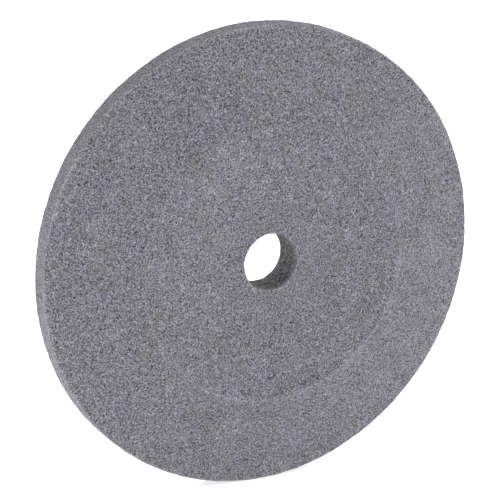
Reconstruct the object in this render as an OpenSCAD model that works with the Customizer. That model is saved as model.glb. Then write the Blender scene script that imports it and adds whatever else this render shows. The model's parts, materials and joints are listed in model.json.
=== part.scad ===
// Felt polishing wheel, tapered on one side: one solid disc of pressed felt.
// Turned profile: flat back, straight rim, conical taper up to a crease ring,
// then a very shallow dish down to a flat land round the bore.
// Origin at the wheel's centre, axis along Y, tapered face towards -Y, Z up.

/* [Wheel] */
// outside diameter
wheel_d = 101.6; // [80:0.2:130]
// width of the straight rim
rim_w = 4.8; // [3.4:0.1:6.5]
// softened radius of the two rim arrises
arris_r = 0.45; // [0.2:0.05:0.8]

/* [Tapered face] */
// diameter of the crease ring where the taper starts
crease_d = 61; // [48:0.5:74]
// height of the crease above the front arris of the rim
taper_h = 6.2; // [4:0.1:8]
// depth of the dish, from the crease down to the land
dish_h = 1.6; // [0.6:0.1:2.2]
// diameter of the flat land that the clamp washer sits on
land_d = 25.4; // [22:0.2:34]

/* [Bore] */
// diameter of the arbor hole
bore_d = 12.7; // [9.6:0.1:16]
// countersink at the back end of the bore, across its radius
sink_r = 1.5; // [0.4:0.1:2]
// depth of that countersink
sink_h = 1.6; // [0.4:0.1:2]

/* [Hidden] */
$fn = 160;
// axial stations, measured from the flat back
crease_z = rim_w + taper_h;
land_z = crease_z - dish_h;
mid_z = crease_z / 2;
wheel_r = wheel_d / 2;
crease_r = crease_d / 2;
land_r = land_d / 2;
bore_r = bore_d / 2;
steps = 4;
// the taper's slope, as degrees from the plane of the wheel
taper_a = atan2(taper_h, wheel_r - crease_r);
// set-back that makes the front arris round meet rim and taper smoothly
front_t = arris_r * tan((90 - taper_a) / 2);

// points of an arc of radius r about [x, y], from angle a to angle b
function arc(x, y, r, a, b) =
    [for (i = [0:steps]) let(t = a + (b - a) * i / steps) [x + r * cos(t), y + r * sin(t)]];

// half section, radius across and distance from the back upwards
module section() {
    polygon(concat(
        [[bore_r + sink_r, 0]],
        arc(wheel_r - arris_r, arris_r, arris_r, -90, 0),
        arc(wheel_r - arris_r, rim_w - front_t, arris_r, 0, 90 - taper_a),
        [
            [crease_r, crease_z],
            [land_r, land_z],
            [bore_r, land_z],
            [bore_r, sink_h]
        ]
    ));
}

module felt_wheel() {
    color([0.51, 0.51, 0.54])
        rotate([90, 0, 0])
            translate([0, 0, -mid_z])
                rotate_extrude() section();
}

felt_wheel();
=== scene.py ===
import json
import math

import bpy
import numpy as np
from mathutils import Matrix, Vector


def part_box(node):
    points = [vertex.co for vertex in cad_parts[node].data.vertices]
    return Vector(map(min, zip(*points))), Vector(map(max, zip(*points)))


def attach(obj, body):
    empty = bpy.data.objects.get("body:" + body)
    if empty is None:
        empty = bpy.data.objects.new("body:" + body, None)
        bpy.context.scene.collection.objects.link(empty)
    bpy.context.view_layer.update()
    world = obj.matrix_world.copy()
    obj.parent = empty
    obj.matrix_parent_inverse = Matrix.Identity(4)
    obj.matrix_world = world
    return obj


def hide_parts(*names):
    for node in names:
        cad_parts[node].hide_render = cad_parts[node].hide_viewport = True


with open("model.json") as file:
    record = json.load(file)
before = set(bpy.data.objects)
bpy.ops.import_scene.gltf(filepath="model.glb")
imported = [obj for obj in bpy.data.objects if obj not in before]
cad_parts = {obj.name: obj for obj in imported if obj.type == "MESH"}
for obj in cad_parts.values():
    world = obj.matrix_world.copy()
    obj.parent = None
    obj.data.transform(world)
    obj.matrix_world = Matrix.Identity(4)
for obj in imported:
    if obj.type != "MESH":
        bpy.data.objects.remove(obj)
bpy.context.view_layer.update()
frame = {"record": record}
mm = 0.001
seed = 41
print("frame loaded")


def linearColour(hexText):
    # sRGB to linear: v / 12.92 near black, ((v + 0.055) / 1.055) ^ 2.4 above it
    v = np.array([int(hexText[i:i + 2], 16) for i in (1, 3, 5)]) / 255
    linear = np.where(v <= 0.04045, v / 12.92, ((v + 0.055) / 1.055) ** 2.4)
    return (*linear.tolist(), 1.0)


def addNode(tree, kind, settings=None, links=None):
    # a setting is an input socket if the node has one of that name or number, else a property
    node = tree.nodes.new(kind)
    for name, value in (settings or {}).items():
        if isinstance(name, int) or name in node.inputs:
            node.inputs[name].default_value = value
        else:
            setattr(node, name, value)
    for name, source in (links or {}).items():
        tree.links.new(source, node.inputs[name])
    return node


def newMaterial(name):
    material = bpy.data.materials.new(name)
    material.use_nodes = True
    material.node_tree.nodes.clear()
    return material, material.node_tree


# the wheel's section, in mm; outside size, thickness and bore come from the frame
wheelShape = dict(
    rimWidth=4.8,       # straight rim
    creaseRadius=30.5,  # where the taper starts
    dishDepth=1.6,      # crease down to the land
    landRadius=12.7,    # flat land round the bore
    sinkRadius=1.5,     # countersink at the back of the bore
    sinkDepth=1.6,
    arrisRound=0.45,    # worn roundings of the corners
    creaseRound=0.5,
    boreRound=0.35,
    boreNap=0.13,       # the bore's wall stands this far in, as cut felt swells
    landRound=6.0,      # the land runs softly into the dish
    sinkRound=0.5,
    beadHeight=0.10,    # pressed-up lip along the crease
    beadWidth=0.55,
    hollowDepth=0.07,   # and the hollow just outside it
    hollowPlace=1.5,
    hollowWidth=0.9,
    # the felt's slow waviness, and its quick one of pressed lumps: wavelengths, height, waves
    slowLengths=(9, 30),
    slowWave=0.03,
    slowCount=40,
    quickLengths=(1.3, 3.2),
    quickWave=0.025,
    quickCount=90,
    # paler wear and painted highlight at each corner, in the section's order: back sink, back
    # arris, front arris, crease, land, bore's mouth, sink in the bore
    rubWidth=(1.0, 0.40, 0.40, 0.55, 1.0, 0.40, 1.0),
    rubShare=(0.0, 0.8, 1.4, 0.62, 0.0, 0.9, 0.0),
    creaseCorner=3,
    creaseRub=0.6,      # mean wear and painted highlight along the crease, and how far the painted highlight swings round the wheel
    creaseSwing=0.4,
    leastRubbed=65,     # where the painted highlight is least, on the side the light falls least on, in degrees from +X towards +Z
    soilFade=2.0,       # the painted shade in the bore fades out over this length at both ends
    crowdedCorners=(1, 2, 3, 5),
    crowding=4.5,       # how much closer stations stand at those corners,
    crowdReach=0.7,     # out to what distance,
    backCrowding=0.45,  # and how thinly on the plain back
    stations=190,       # points round the section
    spokes=520,         # sections round the wheel
)

low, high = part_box("felt_wheel")
outerRadius = (high[0] - low[0]) / 2 / mm
thickness = (high[1] - low[1]) / mm
mounts = {m["name"]: m for m in frame["record"]["mounts"]}
boreRadius = mounts["arbor_bore"]["dims"]["r_mm"]


def roundedLoop(corners, radii, steps=9):
    # closed outline: each corner gives way to a quadratic curve between the two points that lie
    # radius * tan(turn / 2) before and after it, p = (1-t)^2 a + 2t(1-t) corner + t^2 b
    before = np.roll(corners, 1, axis=0) - corners
    after = np.roll(corners, -1, axis=0) - corners
    before /= np.linalg.norm(before, axis=1, keepdims=True)
    after /= np.linalg.norm(after, axis=1, keepdims=True)
    inner = np.arccos(np.clip((before * after).sum(axis=1), -1, 1))
    reach = (radii / np.tan(inner / 2))[:, None]
    a, b = corners + before * reach, corners + after * reach
    t = np.linspace(0, 1, steps)[None, :, None]
    curve = (1 - t) ** 2 * a[:, None] + 2 * t * (1 - t) * corners[:, None] + t ** 2 * b[:, None]
    return curve.reshape(-1, 2)


def sectionLoop(s):
    # radius across and distance from the back, from the back of the bore outwards
    bore, landHeight = boreRadius - s["boreNap"], thickness - s["dishDepth"]
    corners = np.array([
        [bore + s["sinkRadius"], 0],
        [outerRadius, 0],
        [outerRadius, s["rimWidth"]],
        [s["creaseRadius"], thickness],
        [s["landRadius"], landHeight],
        [bore, landHeight],
        [bore, s["sinkDepth"]],
    ], dtype=float)
    radii = np.array([s["sinkRound"], s["arrisRound"], s["arrisRound"], s["creaseRound"],
                      s["landRound"], s["boreRound"], s["sinkRound"]])
    fine = roundedLoop(corners, radii)
    # stations crowd where the outline turns
    closed = np.vstack([fine, fine[:1]])
    length = np.r_[0, np.cumsum(np.linalg.norm(np.diff(closed, axis=0), axis=1))]
    even = np.linspace(0, length[-1], 6000)
    r, h = np.interp(even, length, closed[:, 0]), np.interp(even, length, closed[:, 1])
    crowded = corners[list(s["crowdedCorners"])]
    gap = np.hypot(r[:, None] - crowded[:, 0], h[:, None] - crowded[:, 1]).min(axis=1)
    weight = (np.where(h > 0.01, 1.0, s["backCrowding"])
              + s["crowding"] * np.exp(-(gap / s["crowdReach"]) ** 2))
    spread = np.r_[0, np.cumsum((weight[1:] + weight[:-1]) / 2)]
    pick = np.interp(np.linspace(0, spread[-1], s["stations"] + 1)[:-1], spread, even)
    return np.interp(pick, even, r), np.interp(pick, even, h), corners


def feltWaves(points, wavelengths, count, rng):
    # sum of count plane waves of random direction and phase, wavelength drawn between two limits,
    # scaled so that the whole has unit deviation
    direction = rng.normal(size=(count, 3))
    direction /= np.linalg.norm(direction, axis=1, keepdims=True)
    k = direction * (2 * np.pi / rng.uniform(*wavelengths, size=(count, 1)))
    phase = rng.uniform(0, 2 * np.pi, count)
    total = np.zeros(len(points))
    for i in range(count):
        total += np.sin(points @ k[i] + phase[i])
    return total * math.sqrt(2 / count)


def outwardNormals(r, h):
    # the outline's tangent by central difference, turned a quarter turn outwards
    tr, th = np.roll(r, -1) - np.roll(r, 1), np.roll(h, -1) - np.roll(h, 1)
    length = np.hypot(tr, th)
    return th / length, -tr / length


def latheWheel(s):
    # section (r, h) carried round the axis: x = r cos a, y = thickness / 2 - h, z = r sin a,
    # then each point is moved along its normal by the felt's waviness
    rng = np.random.default_rng(seed)
    r, h, corners = sectionLoop(s)
    onFront = (h > s["rimWidth"] + 1) & (r > boreRadius + 1)
    past = r - s["creaseRadius"]
    bead = s["beadHeight"] * np.exp(-(past / s["beadWidth"]) ** 2)
    hollow = s["hollowDepth"] * np.exp(-((past - s["hollowPlace"]) / s["hollowWidth"]) ** 2)
    h = h + np.where(onFront, bead - hollow - s["beadHeight"], 0)
    angle = np.linspace(0, 2 * np.pi, s["spokes"], endpoint=False)
    nr, nh = outwardNormals(r, h)
    co, si = np.cos(angle)[:, None], np.sin(angle)[:, None]
    point = np.stack([r * co, (thickness / 2 - h) + 0 * co, r * si], axis=2).reshape(-1, 3)
    normal = np.stack([nr * co, -nh + 0 * co, nr * si], axis=2).reshape(-1, 3)
    slow = feltWaves(point, s["slowLengths"], s["slowCount"], rng)
    quick = feltWaves(point, s["quickLengths"], s["quickCount"], rng)
    height = s["slowWave"] * slow + s["quickWave"] * quick
    point += normal * height[:, None]
    # corners and crease paler, partly wear and partly painted highlight: nearness to each corner,
    # broken up by the slow waves, and the crease more on one side of the wheel than on the other,
    # as painted light
    near = np.hypot(r[:, None] - corners[:, 0], h[:, None] - corners[:, 1])
    rub = np.array(s["rubShare"]) * np.exp(-(near / np.array(s["rubWidth"])) ** 2)
    side = s["creaseRub"] - s["creaseSwing"] * np.cos(angle - math.radians(s["leastRubbed"]))
    atCrease = np.arange(len(corners)) == s["creaseCorner"]
    rub = np.where(atCrease, rub[None] * side[:, None, None], rub[None]).max(axis=2)
    rub = rub.ravel() * np.clip(0.8 + 0.3 * slow, 0, 1.4)
    # painted shade on the bore's wall, darker and a little less blue, least at its two ends
    fromEnd = np.minimum(h, thickness - s["dishDepth"] - h)
    onWall = np.clip((boreRadius + 0.4 - r) / 0.2, 0, 1) * np.clip(fromEnd / s["soilFade"], 0, 1)
    soil = np.tile(onWall, s["spokes"]) * np.clip(0.9 + 0.15 * slow, 0, 1)
    return point * mm, rub, soil


def wheelMesh(name, s):
    point, rub, soil = latheWheel(s)
    n, m = s["spokes"], s["stations"]
    i, j = np.meshgrid(np.arange(n), np.arange(m), indexing="ij")
    nextI, nextJ = (i + 1) % n, (j + 1) % m
    quads = np.stack([i * m + j, i * m + nextJ, nextI * m + nextJ, nextI * m + j], axis=-1)
    quads = quads.reshape(-1, 4)
    # a closed skin whose signed volume comes out negative is inside out
    a, b, c, d = (point[quads[:, q]] for q in range(4))
    volume = (a * (np.cross(b, c) + np.cross(c, d))).sum() / 6
    if volume < 0:
        quads = quads[:, ::-1]
    mesh = bpy.data.meshes.new(name)
    mesh.vertices.add(len(point))
    mesh.vertices.foreach_set("co", point.ravel())
    mesh.loops.add(quads.size)
    mesh.loops.foreach_set("vertex_index", quads.ravel())
    mesh.polygons.add(len(quads))
    mesh.polygons.foreach_set("loop_start", np.arange(len(quads)) * 4)
    mesh.polygons.foreach_set("loop_total", np.full(len(quads), 4))
    mesh.polygons.foreach_set("use_smooth", np.ones(len(quads), dtype=bool))
    mesh.update(calc_edges=True)
    mesh.validate()
    # masks carried on the mesh: paler wear with painted highlight at the corners, and painted shade
    # on the bore's wall
    for label, values in (("rub", rub), ("soil", soil)):
        attribute = mesh.attributes.new(label, "FLOAT", "POINT")
        attribute.data.foreach_set("value", values.astype(np.float32))
    piece = bpy.data.objects.new(name, mesh)
    bpy.context.scene.collection.objects.link(piece)
    print(name, len(quads) * 2, "triangles,", round(abs(volume) * 1e6, 1), "cm3")
    return piece


# pressed wool felt: fibres matted flat by heat, steam and pressure, then turned and sanded;
# it looks matt and finely speckled, with paler nap where corners rub and painted highlights along
# them
feltFinish = dict(
    fibreDark="#17181c",
    fibreLight="#a9a8b5",
    warmBlend="#f2f2e4",    # tints the patches where undyed wool was carded in
    arborSoil="#c9c7bd",    # darkens the bore's wall and makes it a little less blue: painted shade
    grainSize=0.32,     # mm; the fibres are 0.03 mm, drawn this coarse so that they show
    strandWidth=0.30,   # mm, bundles of fibre
    strandLength=1.6,   # mm
    strandTurns=(0.2, 1.25, 2.3),   # the ways that bundles run, in radians about the axis
    cutSize=0.7,        # mm, ends of fibre in the cut bore
    fleckSize=0.55,     # mm, pale coarse hairs seen end on
    mottleSize=7.0,     # mm, uneven pressing
    blendSize=3.5,      # mm, patches of one wool
    napHeight=0.10,     # mm
    # what each pattern adds to the tone: noise from, noise to, tone from, tone to
    grainTone=(0.26, 0.74, 0.05, 0.77),
    strandTone=(0.4, 0.8, -0.1, 0.22),
    fleckTone=(0.66, 0.78, 0.0, 0.5),
    mottleTone=(0.2, 0.8, -0.05, 0.05),
    cutTone=(0.3, 0.7, -0.4, 0.4),
    blendCover=(0.45, 0.7, 0.0, 0.9),   # and how much of the patches' tint shows
    # how much paler the corners are drawn: wear and painted highlight
    rubTone=0.15,
    toneCurve=1.3,      # darkens the middle tones, so that pale fibre ends are few
)


def noiseFac(tree, place, size, detail, distortion=0.0):
    # noise whose features are about size mm across
    return addNode(tree, "ShaderNodeTexNoise", {
        "Scale": 1 / (size * mm), "Detail": detail, "Roughness": 0.5, "Distortion": distortion},
        {"Vector": place}).outputs["Fac"]


def ramp(tree, value, limits):
    fromMin, fromMax, toMin, toMax = limits
    return addNode(tree, "ShaderNodeMapRange", {
        "clamp": True, "From Min": fromMin, "From Max": fromMax, "To Min": toMin, "To Max": toMax},
        {"Value": value}).outputs["Result"]


def pressedFelt(s):
    material, tree = newMaterial("pressed_wool_felt")
    place = addNode(tree, "ShaderNodeTexCoord").outputs["Object"]
    strands = None
    for turn in s["strandTurns"]:
        # noise drawn out along one direction in the wheel's plane, so that it runs in strands
        lay = addNode(tree, "ShaderNodeMapping", {
            "vector_type": "TEXTURE", "Rotation": (0, turn, 0),
            "Scale": (s["strandWidth"] * mm, s["strandWidth"] * mm, s["strandLength"] * mm)},
            {"Vector": place}).outputs["Vector"]
        strand = addNode(tree, "ShaderNodeTexNoise", {
            "Scale": 1.0, "Detail": 1.0, "Roughness": 0.5, "Distortion": 0.5},
            {"Vector": lay}).outputs["Fac"]
        strands = strand if strands is None else addNode(
            tree, "ShaderNodeMath", {"operation": "MAXIMUM"}, {0: strands, 1: strand}).outputs[0]
    grain = ramp(tree, noiseFac(tree, place, s["grainSize"], 1.0, 0.2), s["grainTone"])
    bundles = ramp(tree, strands, s["strandTone"])
    flecks = ramp(tree, noiseFac(tree, place, s["fleckSize"], 2.0), s["fleckTone"])
    clouds = ramp(tree, noiseFac(tree, place, s["mottleSize"], 3.0), s["mottleTone"])
    # paler wear and painted highlight at the corners and along the crease
    rub = addNode(tree, "ShaderNodeAttribute", {"attribute_name": "rub"}).outputs["Fac"]
    wearAndHighlighted = addNode(tree, "ShaderNodeMath", {"operation": "MULTIPLY", 1: s["rubTone"]},
                     {0: rub}).outputs[0]
    # the bore's wall mask, where shade is painted
    soil = addNode(tree, "ShaderNodeAttribute", {"attribute_name": "soil"}).outputs["Fac"]
    # the bore is cut, not pressed, so its wall has coarser ends of fibre
    cut = ramp(tree, noiseFac(tree, place, s["cutSize"], 2.0), s["cutTone"])
    cutEnds = addNode(tree, "ShaderNodeMath", {"operation": "MULTIPLY"},
                      {0: cut, 1: soil}).outputs[0]
    tone = grain
    for part in (bundles, flecks, clouds, wearAndHighlighted, cutEnds):
        tone = addNode(tree, "ShaderNodeMath", {"operation": "ADD", "use_clamp": True},
                       {0: tone, 1: part}).outputs[0]
    curved = addNode(tree, "ShaderNodeMath", {"operation": "POWER", 1: s["toneCurve"]},
                     {0: tone}).outputs[0]
    wool = addNode(tree, "ShaderNodeMix", {
        "data_type": "RGBA", 6: linearColour(s["fibreDark"]), 7: linearColour(s["fibreLight"])},
        {0: curved}).outputs[2]
    patches = ramp(tree, noiseFac(tree, place, s["blendSize"], 2.0), s["blendCover"])
    blended = addNode(tree, "ShaderNodeMix", {
        "data_type": "RGBA", "blend_type": "MULTIPLY", 7: linearColour(s["warmBlend"])},
        {0: patches, 6: wool}).outputs[2]
    # painted shade: the bore's wall drawn darker and a little less blue
    colour = addNode(tree, "ShaderNodeMix", {
        "data_type": "RGBA", "blend_type": "MULTIPLY", 7: linearColour(s["arborSoil"])},
        {0: soil, 6: blended}).outputs[2]
    bump = addNode(tree, "ShaderNodeBump", {"Strength": 0.7, "Distance": s["napHeight"] * mm},
                   {"Height": tone}).outputs["Normal"]
    surface = addNode(tree, "ShaderNodeBsdfPrincipled", {
        "Roughness": 0.95, "IOR": 1.5, "Specular IOR Level": 0.15,
        "Sheen Weight": 0.12, "Sheen Roughness": 0.6, "Sheen Tint": (1.0, 1.0, 1.0, 1.0)},
        {"Base Color": colour, "Normal": bump})
    addNode(tree, "ShaderNodeOutputMaterial", links={"Surface": surface.outputs["BSDF"]})
    return material


wheel = wheelMesh("feltWheel", wheelShape)
wheel.data.materials.append(pressedFelt(feltFinish))
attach(wheel, "root")
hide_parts("felt_wheel")
print("wheel made")

# loose ends of fibre that sanding leaves lying on the felt, a few of them standing off its corners
strayFibre = dict(
    count=1800,
    lengths=(0.7, 2.4),     # mm
    thickness=(0.05, 0.09),  # mm; real ones are 0.03, drawn thicker so that they show
    clearOfBore=0.8,        # mm
    hueSize=3.0,            # mm, lengths of one colour
    hueCover=(0.35, 0.6, 0.0, 1.0),     # noise from, noise to, pale share from and to
    lift=0.10,              # mm, height of the arch
    bend=0.35,              # sideways curl, as a share of the length
    rings=7,
    sides=3,
    paleWool="#a7a6ad",
    darkWool="#5b5b61",
)


def fibreMesh(name, s, shape):
    # fibre centre line p(t) = p0 + L ((t - 1/2) d + bend (t - 1/2)^2 e) + lift sin(pi t) n,
    # with d and e along the felt and n out of it; rings of radius w/2 sqrt(sin(pi t)) are
    # carried along it, and its ends are capped
    rng = np.random.default_rng(seed + 1)
    r, h, corners = sectionLoop(shape)
    nr, nh = outwardNormals(r, h)
    step = np.hypot(np.roll(r, -1) - r, np.roll(h, -1) - h)
    # a fibre lands anywhere on the felt with the same chance, but not in the bore
    share = r * step * (r > boreRadius + s["clearOfBore"])
    pick = rng.choice(len(r), s["count"], p=share / share.sum())
    angle = rng.uniform(0, 2 * np.pi, s["count"])
    co, si = np.cos(angle), np.sin(angle)
    root = np.stack([r[pick] * co, thickness / 2 - h[pick], r[pick] * si], axis=1)
    out = np.stack([nr[pick] * co, -nh[pick], nr[pick] * si], axis=1)
    around = np.stack([-si, 0 * co, co], axis=1)
    across = np.cross(out, around)
    turn = rng.uniform(0, 2 * np.pi, s["count"])[:, None]
    d = np.cos(turn) * around + np.sin(turn) * across
    e = np.cos(turn) * across - np.sin(turn) * around
    length = rng.uniform(*s["lengths"], s["count"])[:, None, None]
    curl = rng.normal(0, s["bend"], s["count"])[:, None, None]
    t = np.linspace(0.02, 0.98, s["rings"])[None, :, None]
    line = (root[:, None] + length * ((t - 0.5) * d[:, None] + curl * (t - 0.5) ** 2 * e[:, None])
            + s["lift"] * np.sin(np.pi * t) * out[:, None])
    width = rng.uniform(*s["thickness"], s["count"])[:, None, None] / 2 * np.sqrt(np.sin(np.pi * t))
    spin = np.arange(s["sides"]) * 2 * np.pi / s["sides"]
    ring = (np.cos(spin)[None, None, :, None] * e[:, None, None]
            + np.sin(spin)[None, None, :, None] * out[:, None, None])
    point = (line[:, :, None] + width[..., None] * ring).reshape(-1, 3) * mm
    rings, sides = s["rings"], s["sides"]
    f, i, j = np.meshgrid(np.arange(s["count"]), np.arange(rings - 1), np.arange(sides),
                          indexing="ij")
    base, nextJ = (f * rings + i) * sides, (j + 1) % sides
    quads = np.stack([base + j, base + nextJ, base + sides + nextJ, base + sides + j], axis=-1)
    quads = quads.reshape(-1, 4)
    start = np.arange(s["count"]) * rings * sides
    caps = np.vstack([start[:, None] + sides - 1 - np.arange(sides),
                      start[:, None] + (rings - 1) * sides + np.arange(sides)])
    mesh = bpy.data.meshes.new(name)
    mesh.from_pydata(point.tolist(), [], quads.tolist() + caps.tolist())
    mesh.polygons.foreach_set("use_smooth", np.ones(len(mesh.polygons), dtype=bool))
    piece = bpy.data.objects.new(name, mesh)
    bpy.context.scene.collection.objects.link(piece)
    print(name, len(point), "points")
    return piece


def looseWool(s):
    # single wool fibres, dyed grey and undyed: soft, slightly lustrous
    material, tree = newMaterial("loose_wool_fibre")
    place = addNode(tree, "ShaderNodeTexCoord").outputs["Object"]
    pale = ramp(tree, noiseFac(tree, place, s["hueSize"], 1.0), s["hueCover"])
    colour = addNode(tree, "ShaderNodeMix", {
        "data_type": "RGBA", 6: linearColour(s["darkWool"]), 7: linearColour(s["paleWool"])},
        {0: pale}).outputs[2]
    surface = addNode(tree, "ShaderNodeBsdfPrincipled", {
        "Roughness": 0.75, "IOR": 1.55, "Specular IOR Level": 0.3}, {"Base Color": colour})
    addNode(tree, "ShaderNodeOutputMaterial", links={"Surface": surface.outputs["BSDF"]})
    return material


fibres = fibreMesh("strayFibres", strayFibre, wheelShape)
fibres.data.materials.append(looseWool(strayFibre))
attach(fibres, "root")
print("stray fibres laid")


# a white matt board under the wheel and large soft lights
studio = dict(
    floorHalf=3.0,          # m
    floorColour="#f6f6f6",
    skyColour="#ffffff",
    skyStrength=1.0,
    floorGlow=0.60,         # the board is an opal table, lit a little from below
    panelPlace=(-0.19, 0.06),   # a panel lying on the table at the left, m
    panelLift=0.002,
    panelSide=0.24,
    panelPower=0.18,        # W
    panelColour="#ffffff",
)
# azimuth and elevation as seen from the wheel in degrees, distance and side in m, power in W
rightBox = dict(azimuth=55, elevation=3, distance=1.2, side=0.5, power=4.8, colour="#fffffa")
topBox = dict(azimuth=180, elevation=75, distance=1.5, side=1.0, power=2.0, colour="#ffffff")


def awayFrom(azimuth, elevation):
    # unit vector from the wheel: (sin a cos e, -cos a cos e, sin e)
    a, e = math.radians(azimuth), math.radians(elevation)
    return Vector((math.sin(a) * math.cos(e), -math.cos(a) * math.cos(e), math.sin(e)))


def addLamp(name, side, power, colour, place, facing):
    # a square lamp at place that shines along facing and isn't itself seen
    lamp = bpy.data.lights.new(name, "AREA")
    lamp.shape, lamp.size, lamp.energy = "SQUARE", side, power
    lamp.color = linearColour(colour)[:3]
    box = bpy.data.objects.new(name, lamp)
    box.location = place
    box.rotation_euler = facing.to_track_quat("-Z", "Y").to_euler()
    box.visible_camera = False
    bpy.context.scene.collection.objects.link(box)


def buildStudio(s):
    half, height = s["floorHalf"], low[2]
    mesh = bpy.data.meshes.new("floor")
    corners = [(x * half, y * half, height) for x, y in ((-1, -1), (1, -1), (1, 1), (-1, 1))]
    mesh.from_pydata(corners, [], [(0, 1, 2, 3)])
    floor = bpy.data.objects.new("floor", mesh)
    bpy.context.scene.collection.objects.link(floor)
    # matt white painted board: even, no gloss
    material, tree = newMaterial("matt_white_board")
    surface = addNode(tree, "ShaderNodeBsdfPrincipled", {
        "Base Color": linearColour(s["floorColour"]), "Roughness": 0.9, "Specular IOR Level": 0.2,
        "Emission Color": linearColour(s["floorColour"]), "Emission Strength": s["floorGlow"]})
    addNode(tree, "ShaderNodeOutputMaterial", links={"Surface": surface.outputs["BSDF"]})
    mesh.materials.append(material)
    world = bpy.data.worlds.new("studioWorld")
    world.use_nodes = True
    world.node_tree.nodes.clear()
    sky = addNode(world.node_tree, "ShaderNodeBackground", {
        "Color": linearColour(s["skyColour"]), "Strength": s["skyStrength"]})
    addNode(world.node_tree, "ShaderNodeOutputWorld", links={"Surface": sky.outputs["Background"]})
    bpy.context.scene.world = world
    panelPlace = Vector((*s["panelPlace"], height + s["panelLift"]))
    addLamp("tablePanel", s["panelSide"], s["panelPower"], s["panelColour"],
            panelPlace, Vector((0, 0, 1)))
    # a plain curve from light to picture, so that the white table stays white
    bpy.context.scene.view_settings.view_transform = "Standard"


buildStudio(studio)
for name, softbox in (("rightBox", rightBox), ("topBox", topBox)):
    away = awayFrom(softbox["azimuth"], softbox["elevation"])
    addLamp(name, softbox["side"], softbox["power"], softbox["colour"],
            away * softbox["distance"], -away)
print("studio lit")

# lengths here are in wheel radii
cameraView = dict(
    azimuth=-27.1,
    elevation=17.2,
    distance=13.9,      # from the middle of the hub's face
    halfWidth=1.049,    # half of the frame's width at that distance
    aimRight=-0.088,    # where the frame's middle lies from the middle of the hub's face
    aimUp=0.0516,
)


def addCamera(s):
    camera = bpy.data.objects.new("camera", bpy.data.cameras.new("camera"))
    back = awayFrom(s["azimuth"], s["elevation"])
    turn = (-back).to_track_quat("-Z", "Y")
    right, up = turn @ Vector((1, 0, 0)), turn @ Vector((0, 1, 0))
    hubFace = Vector((0, mounts["front_land"]["pos_m"][1], 0))
    radius = outerRadius * mm
    aim = s["aimRight"] * right + s["aimUp"] * up
    camera.location = hubFace + radius * (aim + s["distance"] * back)
    camera.rotation_mode = "QUATERNION"
    camera.rotation_quaternion = turn
    camera.data.sensor_width = 36   # mm
    camera.data.lens = camera.data.sensor_width / 2 * s["distance"] / s["halfWidth"]
    bpy.context.scene.collection.objects.link(camera)
    bpy.context.scene.camera = camera


addCamera(cameraView)
print("camera placed")
